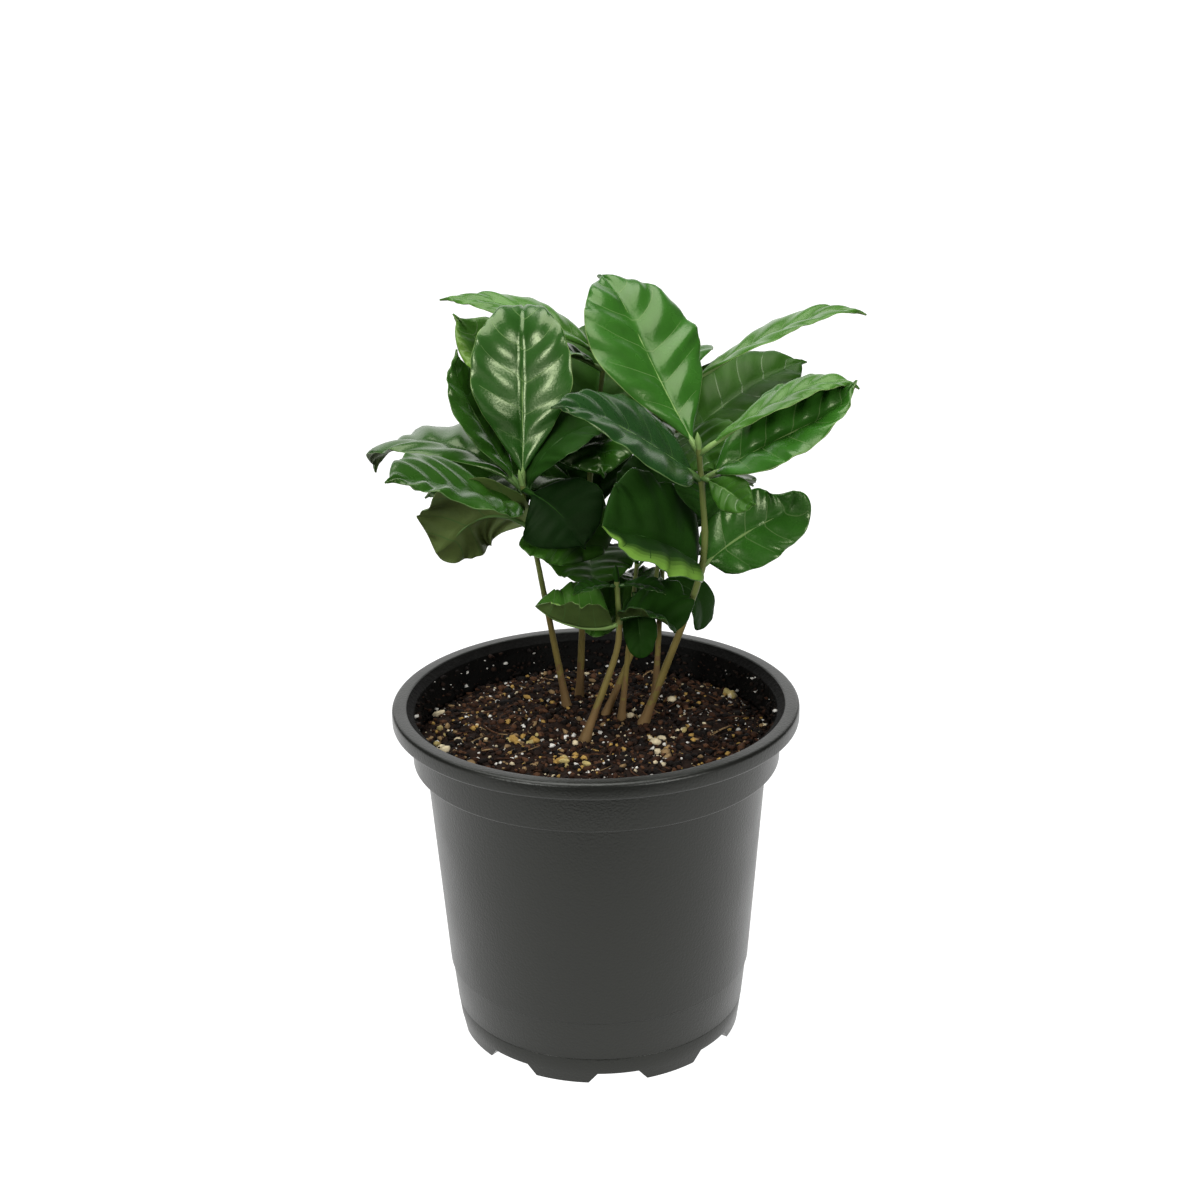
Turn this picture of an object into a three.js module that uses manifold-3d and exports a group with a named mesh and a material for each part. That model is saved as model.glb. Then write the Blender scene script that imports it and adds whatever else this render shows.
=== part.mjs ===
// A clump of seven coffee seedlings in a round plastic nursery pot.
// Millimetres, +Z up. The origin is under the middle of the pot, on the surface it stands on.
// +X runs to the right of the front view and +Y runs away from the viewer.
import * as THREE from 'three';
import { mergeVertices } from 'three/addons/utils/BufferGeometryUtils.js';
import Module from 'manifold-3d';

const wasm = await Module();
wasm.setup();

// Clearance between two pieces that touch
const GAP = 0.3;

// Pot: outer radii and heights
const POT_SIDES = 48;
const WALL = 1.1;
const FLOOR = 1.6;
const RIM_RADIUS = 55;
const RIM_TOP = 95.5;
const RIM_LOWER_EDGE = 91;
const RIM_EDGE_ROUND = 0.7;
const RIM_SHEET = 1.4;
const RIM_INNER_RADIUS = 51.6;
const COLLAR_RADIUS = 49.8;
const COLLAR_BOTTOM = 79.7;
const BODY_TOP_RADIUS = 46.4;
const BODY_LOW_RADIUS = 41.9;
const BODY_LOW = 19.8;
const BAND_STEP = 0.4;
const FOOT_RADIUS = 40.3;
const FOOT_TOP = 8;
const BASE_RADIUS = 39.2;

// Drain notches round the foot
const NOTCH_COUNT = 8;
const NOTCH_FIRST = -83.4;
const NOTCH_WIDTH = 15.8;
const NOTCH_TOP_WIDTH = 11;
const NOTCH_HEIGHT = 3;
const NOTCH_INNER_RADIUS = 31;
const NOTCH_ROOF = 1.2;

// Potting mix: a low mound that falls away to the wall
const SOIL_TOP = 88;
const SOIL_FLAT_RADIUS = 32;
const SOIL_SHOULDER_RADIUS = 41;
const SOIL_SHOULDER = 86.6;
const SOIL_EDGE = 84.8;

// Stems
const STEM_SIDES = 8;
const STEM_STEPS = 8;
const STEM_TAPER = 0.6;
const STEM_TURN = 0.6;
const ROOT_FLARE = 0.55;
const ROOT_FLARE_HEIGHT = 3;
const SEED_ZONE = 4;
const BUD_LENGTH = 4.5;
const BUD_BELLY = 0.35;
const BUD_SWELL = 1.25;
const BUD_POINT = 0.15;

// Leaves
const LEAF_STATIONS = 10;
const STEPS_PER_STATION = 8;
const LEAF_THICKNESS = 0.9;
const LEAF_TIP = 0.25;
const PETIOLE_RADIUS = 0.8;
const SEED_PETIOLE = 2;
const TRUE_PETIOLE = 4;
const PETIOLE_FULL_LEAF = 30;
const SEED_ROUNDNESS = 0.45;
const SEED_BROADEST = 0.5;
const TRUE_BROADEST = 0.55;
const BLADE_FULLNESS = 0.85;
const DRIP_START = 0.6;
const DRIP_FULL = 0.95;
const DRIP_WIDTH = 0.26;
const CURL_START = 0.6;

// Seedlings: foot on the mix, tip above it, sideways bow of the stem where it turns at its seed leaves,
// and diameter at the foot.
// A leaf sits at a share of its stem's height. Heading turns from +X towards +Y, rise is the climb of
// the midrib at the stem, bend what it gains on the way to the tip and curl what the last part gains on
// top of that. Roll turns the blade about the midrib and fold lifts each half. Angles are degrees.
// Broad is the share of the length at which the blade is widest, where it isn't the usual one.
const SEEDLINGS = [
  {
    name: 'right',
    foot: [13, 0.5],
    tip: [27.5, -4, 78],
    bow: 8.4,
    diameter: 2.35,
    seedLeaves: [
      { at: 0.57, heading: 207, rise: 46, bend: -42, curl: 29, length: 32, width: 38, roll: -34, fold: 19 },
      {
        at: 0.58, heading: 12, rise: 40, bend: -28, curl: 90,
        length: 30.5, width: 19.5, broad: 0.46, roll: 68, fold: 6,
      },
    ],
    trueLeaves: [
      {
        at: 0.89, heading: 212, rise: 39, bend: -12, curl: -28,
        length: 48.5, width: 29, broad: 0.34, roll: -31, fold: 5,
      },
      {
        at: 0.89, heading: 349, rise: 31, bend: -4, curl: 52,
        length: 45, width: 30, broad: 0.47, roll: 28, fold: 16,
      },
      {
        at: 0.98, heading: 122, rise: 40, bend: 11, curl: -49,
        length: 58.5, width: 32, roll: -5, fold: 6,
      },
      {
        at: 0.98, heading: 355, rise: 39, bend: -22, curl: -48,
        length: 42, width: 16.5, broad: 0.57, roll: 6, fold: 6,
      },
      { at: 0.9, heading: 306, rise: -3, bend: -21, curl: 60, length: 19.5, width: 10, roll: 48, fold: 11 },
      { at: 0.71, heading: 87, rise: 56, bend: -60, length: 17, width: 17, roll: 7, fold: 12 },
    ],
  },
  {
    name: 'left',
    foot: [-8, 12.5],
    tip: [-18.5, 6, 66],
    bow: 0,
    diameter: 2,
    seedLeaves: [
      {
        at: 0.81, heading: 188, rise: 41, bend: -127, curl: 65,
        length: 28, width: 32, broad: 0.61, roll: 55, fold: 6,
      },
      {
        at: 0.82, heading: 329, rise: 25, bend: -104, curl: -6,
        length: 19.5, width: 30.5, broad: 0.45, roll: 22, fold: 12,
      },
    ],
    trueLeaves: [
      {
        at: 0.9, heading: 226, rise: 23, bend: -1, curl: -17,
        length: 47.5, width: 33, broad: 0.45, roll: -17, fold: 8,
      },
      { at: 0.92, heading: 10, rise: 78, bend: -86, length: 31, width: 25, roll: 15, fold: 12 },
      {
        at: 0.98, heading: 88, rise: 71, bend: 8, curl: -110,
        length: 49.5, width: 28.5, roll: 0, fold: 17,
      },
      { at: 0.98, heading: 153, rise: 33, bend: -63, curl: -46, length: 48, width: 32, roll: 1, fold: 6 },
      {
        at: 0.97, heading: 155, rise: 52, bend: 14, curl: 44,
        length: 38.5, width: 19.5, roll: -2, fold: 5,
      },
      { at: 0.98, heading: 316, rise: -7, bend: -46, length: 23, width: 24.5, roll: 39, fold: 12 },
    ],
  },
  {
    name: 'back_left',
    foot: [-4.5, 19],
    tip: [4, 25, 97],
    bow: -2,
    diameter: 2,
    seedLeaves: [
      { at: 0.44, heading: 95, rise: 15, bend: -30, length: 24, width: 24, roll: 0, fold: 10 },
      { at: 0.44, heading: 278, rise: -3, bend: -18, length: 18, width: 24, roll: 0, fold: 10 },
    ],
    trueLeaves: [
      { at: 0.62, heading: 185, rise: 19, bend: -45, length: 42, width: 27, roll: -21, fold: 12 },
      { at: 0.49, heading: 125, rise: 69, bend: -37, length: 25, width: 37, roll: -11, fold: 12 },
      { at: 0.8, heading: 275, rise: 7, bend: -70, length: 21.5, width: 26.5, roll: 22, fold: 12 },
      { at: 0.76, heading: 157, rise: 41, bend: -16, curl: 28, length: 48, width: 25, roll: -31, fold: 13 },
      { at: 0.67, heading: 77, rise: 64, bend: -36, length: 44.5, width: 29, roll: 6, fold: 14 },
      {
        at: 0.98, heading: 166, rise: 37, bend: -42,
        length: 45, width: 16, broad: 0.46, roll: -9, fold: 5,
      },
      { at: 0.95, heading: 192, rise: 34, bend: -45, length: 18, width: 17, roll: 0, fold: 14 },
    ],
  },
  {
    name: 'back_right',
    foot: [17, 23],
    tip: [25.5, 29, 88],
    bow: -2,
    diameter: 1.7,
    seedLeaves: [
      { at: 0.44, heading: 30, rise: 10, bend: -50, length: 22, width: 20, roll: 0, fold: 10 },
      { at: 0.44, heading: 170, rise: 10, bend: -30, length: 18, width: 16, roll: 0, fold: 10 },
    ],
    trueLeaves: [
      { at: 0.63, heading: 35, rise: 18, bend: -50, length: 28, width: 20, roll: 0, fold: 12 },
      { at: 0.83, heading: 291, rise: 10, bend: -41, length: 24, width: 21.5, roll: 31, fold: 12 },
      {
        at: 0.78, heading: 24, rise: 39, bend: -25, curl: -11,
        length: 42.5, width: 31, broad: 0.49, roll: 21, fold: 7,
      },
      { at: 0.78, heading: 85, rise: 20, bend: -60, length: 38, width: 26, roll: 0, fold: 14 },
      { at: 0.98, heading: 3, rise: 33, bend: -18, curl: -35, length: 50, width: 17.5, roll: 1, fold: 7 },
      { at: 0.98, heading: 94, rise: 20, bend: -55, length: 34, width: 23, roll: 0, fold: 14 },
    ],
  },
  {
    name: 'front',
    foot: [-3, -9.5],
    tip: [6, -6, 43],
    bow: 4.4,
    diameter: 2.2,
    seedLeaves: [
      {
        at: 0.73, heading: 186, rise: -12, bend: 60,
        length: 22.5, width: 27, broad: 0.32, roll: 0, fold: 46,
      },
      {
        at: 0.76, heading: 337, rise: 25, bend: -59, curl: -28,
        length: 16, width: 25, broad: 0.6, roll: 2, fold: 30,
      },
    ],
    trueLeaves: [
      { at: 0.97, heading: 200, rise: 10, bend: -30, length: 11, width: 9, roll: 0, fold: 14 },
      { at: 0.97, heading: 345, rise: 12, bend: -40, length: 12, width: 10, roll: 0, fold: 14 },
    ],
  },
  {
    name: 'middle',
    foot: [3, 8],
    tip: [18.5, 8, 50],
    bow: 3,
    diameter: 1.9,
    seedLeaves: [
      {
        at: 0.72, heading: 4, rise: 20, bend: -144, curl: 17,
        length: 21.5, width: 12.5, broad: 0.7, roll: 36, fold: 8,
      },
      { at: 0.66, heading: 115, rise: 27, bend: -42, length: 16, width: 13, roll: -3, fold: 12 },
    ],
    trueLeaves: [
      { at: 0.97, heading: 40, rise: 22, bend: -45, length: 22, width: 15, roll: 0, fold: 12 },
      { at: 0.94, heading: 94, rise: 56, bend: -15, length: 27, width: 22.5, roll: 3, fold: 12 },
    ],
  },
  {
    name: 'inner',
    foot: [7, 3.5],
    tip: [11.5, 2.5, 45],
    bow: 0,
    diameter: 1.7,
    seedLeaves: [
      { at: 0.82, heading: 281, rise: -46, bend: -34, length: 17, width: 9.5, roll: 0, fold: 12 },
      { at: 0.66, heading: 159, rise: 25, bend: -55, length: 14, width: 20, roll: -45, fold: 12 },
    ],
    trueLeaves: [
      { at: 0.97, heading: 352, rise: 50, bend: -60, length: 9, width: 6, roll: 0, fold: 12 },
      { at: 0.97, heading: 95, rise: 40, bend: -50, length: 9, width: 6, roll: 0, fold: 12 },
    ],
  },
];

const radians = THREE.MathUtils.degToRad;
const { lerp, smoothstep } = THREE.MathUtils;

// A closed body through rings that have the same number of points, with a flat fan at each end
function loft(rings) {
  const sides = rings[0].length;
  const positions = rings.flat().flatMap((point) => point.toArray());
  const faces = [];
  for (let i = 0; i + 1 < rings.length; i += 1) {
    for (let j = 0; j < sides; j += 1) {
      const next = (j + 1) % sides;
      const low = i * sides;
      const high = low + sides;
      faces.push(low + j, low + next, high + next);
      faces.push(low + j, high + next, high + j);
    }
  }
  const last = (rings.length - 1) * sides;
  for (let j = 1; j + 1 < sides; j += 1) {
    faces.push(0, j + 1, j);
    faces.push(last, last + j, last + j + 1);
  }
  const geometry = new THREE.BufferGeometry();
  geometry.setAttribute('position', new THREE.Float32BufferAttribute(positions, 3));
  geometry.setIndex(faces);
  return geometry;
}

function toSolid(geometry) {
  const bare = geometry.clone();
  bare.deleteAttribute('normal');
  bare.deleteAttribute('uv');
  const merged = mergeVertices(bare, 1e-4);
  return new wasm.Manifold(new wasm.Mesh({
    numProp: 3,
    vertProperties: new Float32Array(merged.attributes.position.array),
    triVerts: new Uint32Array(merged.index.array),
  }));
}

function toGeometry(solid) {
  const mesh = solid.getMesh();
  const geometry = new THREE.BufferGeometry();
  geometry.setAttribute('position', new THREE.BufferAttribute(mesh.vertProperties, 3));
  geometry.setIndex(new THREE.BufferAttribute(mesh.triVerts, 1));
  geometry.computeVertexNormals();
  return geometry;
}

// A profile of radii and heights, turned about the Z axis
function turned(profile) {
  const points = profile.map(([radius, height]) => new THREE.Vector2(radius, height));
  return new THREE.LatheGeometry(points, POT_SIDES).rotateX(Math.PI / 2);
}

// Outer wall from the foot up to the collar
const BODY_PROFILE = [
  [BASE_RADIUS, 0],
  [FOOT_RADIUS, FOOT_TOP],
  [BODY_LOW_RADIUS - BAND_STEP, BODY_LOW - BAND_STEP],
  [BODY_LOW_RADIUS, BODY_LOW],
  [BODY_TOP_RADIUS, COLLAR_BOTTOM - BAND_STEP],
];

function bodyRadius(height) {
  const upper = BODY_PROFILE.findIndex(([, z]) => z >= height);
  const [r0, z0] = BODY_PROFILE[upper - 1];
  const [r1, z1] = BODY_PROFILE[upper];
  return lerp(r0, r1, (height - z0) / (z1 - z0));
}

// The rim is a sheet that turns out from the collar and down to a free edge
function potShell() {
  const insideStep = COLLAR_BOTTOM + WALL;
  const rimUnderside = RIM_TOP - RIM_SHEET;
  const skirtInside = RIM_RADIUS - RIM_SHEET;
  return turned([
    [0, 0],
    ...BODY_PROFILE,
    [COLLAR_RADIUS, COLLAR_BOTTOM],
    [COLLAR_RADIUS + BAND_STEP, rimUnderside],
    [skirtInside, rimUnderside],
    [skirtInside, RIM_LOWER_EDGE],
    [RIM_RADIUS - RIM_EDGE_ROUND, RIM_LOWER_EDGE],
    [RIM_RADIUS, RIM_LOWER_EDGE + RIM_EDGE_ROUND],
    [RIM_RADIUS, RIM_TOP - RIM_EDGE_ROUND],
    [RIM_RADIUS - RIM_EDGE_ROUND, RIM_TOP],
    [RIM_INNER_RADIUS, RIM_TOP],
    [COLLAR_RADIUS - WALL + BAND_STEP, rimUnderside - RIM_EDGE_ROUND],
    [COLLAR_RADIUS - WALL, insideStep],
    [BODY_TOP_RADIUS - WALL, COLLAR_BOTTOM],
    [bodyRadius(BODY_LOW) - WALL, BODY_LOW],
    [bodyRadius(FOOT_TOP) - WALL, FOOT_TOP],
    [bodyRadius(FLOOR) - WALL, FLOOR],
    [0, FLOOR],
  ]);
}

// A wedge-sided block along the radius, used for the drain notches and for the roofs over them
function notchBlock(halfWidth, halfTopWidth, bottom, top, innerRadius, outerRadius) {
  const outline = new THREE.Shape([
    new THREE.Vector2(-halfWidth, bottom),
    new THREE.Vector2(halfWidth, bottom),
    new THREE.Vector2(halfTopWidth, top),
    new THREE.Vector2(-halfTopWidth, top),
  ]);
  const depth = outerRadius - innerRadius;
  const block = new THREE.ExtrudeGeometry(outline, { depth, bevelEnabled: false });
  return block.translate(0, 0, innerRadius).rotateX(Math.PI / 2).rotateZ(Math.PI / 2);
}

function buildPot() {
  const roofTop = NOTCH_HEIGHT + NOTCH_ROOF;
  const roof = notchBlock(
    NOTCH_WIDTH / 2 + NOTCH_ROOF, NOTCH_TOP_WIDTH / 2 + NOTCH_ROOF,
    FLOOR / 2, roofTop, NOTCH_INNER_RADIUS - NOTCH_ROOF, BASE_RADIUS - WALL / 2,
  );
  const notch = notchBlock(
    NOTCH_WIDTH / 2, NOTCH_TOP_WIDTH / 2,
    -FLOOR, NOTCH_HEIGHT, NOTCH_INNER_RADIUS, RIM_RADIUS,
  );
  let pot = toSolid(potShell());
  for (let i = 0; i < NOTCH_COUNT; i += 1) {
    const turn = radians(NOTCH_FIRST + (360 / NOTCH_COUNT) * i);
    pot = pot.add(toSolid(roof.clone().rotateZ(turn)));
    pot = pot.subtract(toSolid(notch.clone().rotateZ(turn)));
  }
  return toGeometry(pot);
}

// The mix fills the pot from the notch roofs up, clear of the wall
function buildSoil() {
  const bottom = NOTCH_HEIGHT + NOTCH_ROOF + GAP;
  const insideRadius = (height) => bodyRadius(height) - WALL - 2 * GAP;
  const collarInside = COLLAR_RADIUS - WALL - 2 * GAP;
  return turned([
    [0, bottom],
    [insideRadius(bottom), bottom],
    [insideRadius(FOOT_TOP), FOOT_TOP],
    [insideRadius(BODY_LOW) - BAND_STEP, BODY_LOW],
    [insideRadius(COLLAR_BOTTOM - BAND_STEP), COLLAR_BOTTOM - BAND_STEP],
    [insideRadius(COLLAR_BOTTOM - BAND_STEP), COLLAR_BOTTOM + WALL + 2 * GAP],
    [collarInside, COLLAR_BOTTOM + 2 * WALL],
    [collarInside, SOIL_EDGE],
    [SOIL_SHOULDER_RADIUS, SOIL_SHOULDER],
    [SOIL_FLAT_RADIUS, SOIL_TOP],
    [0, SOIL_TOP],
  ]);
}

// Point on a seedling's axis at a share of its height: a straight lean plus a bow along X that is
// nearly straight on both sides of a rounded turn
function stemPoint(seedling, share) {
  const [footX, footY] = seedling.foot;
  const [tipX, tipY, rise] = seedling.tip;
  const below = share / STEM_TURN;
  const above = (1 - share) / (1 - STEM_TURN);
  const bow = (seedling.bow * below * above) / (below ** 4 + above ** 4) ** 0.25;
  return new THREE.Vector3(
    lerp(footX, tipX, share) + bow,
    lerp(footY, tipY, share),
    SOIL_TOP + rise * share,
  );
}

function levelRing(center, radius) {
  const ring = [];
  for (let j = 0; j < STEM_SIDES; j += 1) {
    const angle = (2 * Math.PI * j) / STEM_SIDES;
    ring.push(new THREE.Vector3(radius * Math.cos(angle), radius * Math.sin(angle), 0).add(center));
  }
  return ring;
}

function stemRing(seedling, share) {
  const height = seedling.tip[2] * share;
  const flare = 1 + ROOT_FLARE * Math.exp(-height / ROOT_FLARE_HEIGHT);
  const radius = (seedling.diameter / 2) * lerp(1, STEM_TAPER, share) * flare;
  return levelRing(stemPoint(seedling, share), radius);
}

function stemRings(seedling, from, to) {
  const rings = [];
  for (let i = 0; i <= STEM_STEPS; i += 1) {
    rings.push(stemRing(seedling, lerp(from, to, i / STEM_STEPS)));
  }
  return rings;
}

// Height share where the bare stem ends and the leafy shoot begins
function shootStart(seedling) {
  const lowest = Math.min(...seedling.seedLeaves.map((leaf) => leaf.at));
  return lowest - SEED_ZONE / seedling.tip[2];
}

function buildStem(seedling) {
  const foot = GAP / seedling.tip[2];
  return loft(stemRings(seedling, foot, shootStart(seedling)));
}

// The shoot's own stem, ending in a pointed bud
function shootAxis(seedling) {
  const rings = stemRings(seedling, shootStart(seedling) + GAP / seedling.tip[2], 1);
  const tipRadius = (seedling.diameter / 2) * STEM_TAPER;
  const lean = stemPoint(seedling, 1).sub(stemPoint(seedling, 0.9)).normalize();
  const budPoint = (share) => stemPoint(seedling, 1).addScaledVector(lean, BUD_LENGTH * share);
  rings.push(levelRing(budPoint(BUD_BELLY), tipRadius * BUD_SWELL));
  rings.push(levelRing(budPoint(1), BUD_POINT));
  return loft(rings);
}

// Half width along the blade as a share of the greatest: seed leaves are round,
// true leaves are drawn out to a narrow drip tip
function seedOutline(u, broad = SEED_BROADEST) {
  const v = u ** (Math.log(0.5) / Math.log(broad));
  return Math.max(0, 4 * v * (1 - v)) ** SEED_ROUNDNESS;
}

function trueOutline(u, broad = TRUE_BROADEST) {
  const v = Math.min(1, u / DRIP_FULL) ** (Math.log(0.5) / Math.log(broad / DRIP_FULL));
  const swell = Math.sin(Math.PI * v);
  const drip = DRIP_WIDTH * Math.sqrt(1 - u) * smoothstep(u, DRIP_START, DRIP_FULL) ** 2;
  return Math.max(0, swell) ** BLADE_FULLNESS + drip;
}

// Frame of the blade at a share of its length: along the midrib, across it and out of its upper face
function bladeFrame(leaf, u) {
  const ending = Math.max(0, (u - CURL_START) / (1 - CURL_START));
  const climb = radians(leaf.rise + leaf.bend * u + (leaf.curl ?? 0) * ending ** 2);
  const heading = radians(leaf.heading);
  const roll = radians(leaf.roll);
  const along = new THREE.Vector3(
    Math.cos(climb) * Math.cos(heading),
    Math.cos(climb) * Math.sin(heading),
    Math.sin(climb),
  );
  const level = new THREE.Vector3(-Math.sin(heading), Math.cos(heading), 0);
  const across = level.applyAxisAngle(along, roll);
  return { along, across, up: new THREE.Vector3().crossVectors(along, across) };
}

// Eight points round one section: both margins, three points above the midrib's plane and three below
function bladeRing(center, frame, halfWidth, halfThickness, fold) {
  const corners = [[-1, 0], [-0.5, -1], [0, -1], [0.5, -1], [1, 0], [0.5, 1], [0, 1], [-0.5, 1]];
  return corners.map(([side, face]) => {
    const x = halfWidth * side;
    const thickness = halfThickness * face * (1 - 0.5 * Math.abs(side));
    const lift = Math.abs(x) * Math.sin(fold) + thickness;
    return center.clone().addScaledVector(frame.across, x * Math.cos(fold)).addScaledVector(frame.up, lift);
  });
}

function buildLeaf(seedling, leaf, outline, petiole) {
  const root = stemPoint(seedling, leaf.at);
  const stalk = petiole * Math.min(1, leaf.length / PETIOLE_FULL_LEAF);
  const first = bladeFrame(leaf, 0);
  const rings = [bladeRing(root, first, PETIOLE_RADIUS, PETIOLE_RADIUS, 0)];
  const midrib = root.clone().addScaledVector(first.along, stalk);
  rings.push(bladeRing(midrib, first, PETIOLE_RADIUS, PETIOLE_RADIUS, 0));
  const steps = LEAF_STATIONS * STEPS_PER_STATION;
  for (let i = 1; i <= steps; i += 1) {
    const u = i / steps;
    const middle = bladeFrame(leaf, u - 0.5 / steps);
    midrib.addScaledVector(middle.along, leaf.length / steps);
    if (i % STEPS_PER_STATION === 0) {
      const halfWidth = Math.max(LEAF_TIP, (leaf.width / 2) * outline(u, leaf.broad));
      const halfThickness = Math.min(LEAF_THICKNESS / 2, halfWidth);
      rings.push(bladeRing(midrib, bladeFrame(leaf, u), halfWidth, halfThickness, radians(leaf.fold)));
    }
  }
  return loft(rings);
}

function buildShoot(seedling) {
  let shoot = toSolid(shootAxis(seedling));
  for (const leaf of seedling.seedLeaves) {
    shoot = shoot.add(toSolid(buildLeaf(seedling, leaf, seedOutline, SEED_PETIOLE)));
  }
  for (const leaf of seedling.trueLeaves) {
    shoot = shoot.add(toSolid(buildLeaf(seedling, leaf, trueOutline, TRUE_PETIOLE)));
  }
  return toGeometry(shoot);
}

function piece(name, geometry, color, roughness) {
  const material = new THREE.MeshStandardMaterial({ color, roughness, metalness: 0 });
  const mesh = new THREE.Mesh(geometry, material);
  mesh.name = name;
  return mesh;
}

const plant = new THREE.Group();
plant.name = 'potted_coffee_seedlings';
plant.add(piece('pot', buildPot(), 0x26282b, 0.5));
plant.add(piece('soil', buildSoil(), 0x2a1d17, 0.95));
for (const seedling of SEEDLINGS) {
  plant.add(piece(`stem_${seedling.name}`, buildStem(seedling), 0x8a7a4e, 0.7));
  plant.add(piece(`leaves_${seedling.name}`, buildShoot(seedling), 0x2f5f2b, 0.4));
}

export default plant;
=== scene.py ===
# Looks for a clump of seven coffee seedlings in a nursery pot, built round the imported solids.
# Shapes are worked out in millimetres: +X right, +Y away from the viewer, +Z up.
import math
from collections import namedtuple

import bmesh
import bpy
import numpy as np
from mathutils import Matrix, Vector, noise


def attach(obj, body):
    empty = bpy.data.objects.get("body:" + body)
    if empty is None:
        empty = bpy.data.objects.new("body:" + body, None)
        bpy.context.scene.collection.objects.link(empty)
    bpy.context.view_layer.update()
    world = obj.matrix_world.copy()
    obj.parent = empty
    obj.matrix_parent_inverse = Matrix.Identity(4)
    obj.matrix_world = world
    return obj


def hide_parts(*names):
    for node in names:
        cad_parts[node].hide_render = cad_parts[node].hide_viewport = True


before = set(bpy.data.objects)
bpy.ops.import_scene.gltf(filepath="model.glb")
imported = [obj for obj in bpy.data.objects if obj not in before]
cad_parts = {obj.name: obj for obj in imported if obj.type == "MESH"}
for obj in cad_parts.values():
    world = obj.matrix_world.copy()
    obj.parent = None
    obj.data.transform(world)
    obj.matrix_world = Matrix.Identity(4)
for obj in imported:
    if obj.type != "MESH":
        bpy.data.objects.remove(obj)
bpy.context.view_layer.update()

MM = 0.001

# Pot: outer radii and heights
WALL = 1.1
FLOOR = 1.6
RIM_RADIUS = 55
RIM_TOP = 95.5
RIM_LOWER_EDGE = 91
RIM_SHEET = 1.4
RIM_INNER_RADIUS = 51.6
RIM_ROUND = 1.1
LIP_ROUND = 0.6
LIP_STEPS = 4
ROUND_STEPS = 6
COLLAR_RADIUS = 49.8
COLLAR_BOTTOM = 79.7
BODY_TOP_RADIUS = 46.4
BODY_LOW_RADIUS = 41.9
BODY_LOW = 19.8
BODY_STEPS = 12
BAND_STEP = 0.4
FOOT_RADIUS = 40.3
FOOT_TOP = 8
FOOT_GROOVE = 0.2
FOOT_STEPS = 4
BASE_RADIUS = 39.2
POT_SHARP_ANGLE = 38

# Drain notches round the foot
NOTCH_COUNT = 8
NOTCH_FIRST = -83.4
NOTCH_WIDTH = 15.8
NOTCH_TOP_WIDTH = 11
NOTCH_HEIGHT = 3
NOTCH_INNER_RADIUS = 31
NOTCH_STEPS = 8
NOTCH_BETWEEN = 20
NOTCH_EDGE = 0.002

# Potting mix: its lumps are sheets of noise, each with a height and a fineness
SOIL_TOP = 88
SOIL_FLAT_RADIUS = 32
SOIL_SHOULDER_RADIUS = 41
SOIL_SHOULDER = 86.6
SOIL_EDGE = 84.8
SOIL_RADIUS = 48.4
SOIL_DEPTH = 6
SOIL_SINK = 0.5
SOIL_CALM_EDGE = 3
SOIL_LUMPS = ((0.9, 0.09), (0.7, 0.35), (0.4, 0.9))
SOIL_CENTRE_SHARE = 0.02
SOIL_RINGS = 90
SOIL_SIDES = 300

# Loose bits on the mix: how many, smallest and largest radius, and tones
BITS = (
    ("mix_crumbs", 4400, 0.22, 1.2, ("peat", "peat", "peat", "soil", "soil", "humus", "humus", "russet")),
    ("mix_perlite", 700, 0.24, 0.72, ("perlite", "perlite", "cream")),
    ("mix_chips", 760, 0.25, 1.05, ("chip", "ochre", "russet")),
)
BITS_SEED = 7
BITS_INSET = 1
SMALL_BIAS = 2.5

# A grain's length and breadth in its radius, how flat and rough it is, its tilt and its lift
GRAIN_LONG = (0.8, 1.5)
GRAIN_BROAD = (0.6, 1.1)
GRAIN_FLATNESS = 0.7
GRAIN_ROUGH = 0.38
GRAIN_TILT = 0.6
GRAIN_LIFT = 0.3

# Strands of bark and root on the mix
FIBRES = 160
FIBRES_SEED = 9
FIBRE_LENGTH = (2, 9)
FIBRE_RADIUS = (0.12, 0.3)
FIBRE_TONES = ("chip", "russet", "humus", "humus")
FIBRE_TILT = (-0.1, 0.25)
FIBRE_BEND = 0.2
FIBRE_TAPER = 0.6
FIBRE_LIFT = 0.5
FIBRE_INSET = 5
FIBRE_SHORT_BIAS = 2
FIBRE_RINGS = 5
FIBRE_SIDES = 5

# Dirt on the inner wall above the mix
WALL_BITS = 1300
WALL_SEED = 10
WALL_BIT_RADIUS = (0.18, 0.9)
WALL_TONES = ("peat",) * 10 + ("soil",) * 6 + ("humus", "perlite")
WALL_LOW_BIAS = 1.5
WALL_CLEAN_TOP = 2

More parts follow.
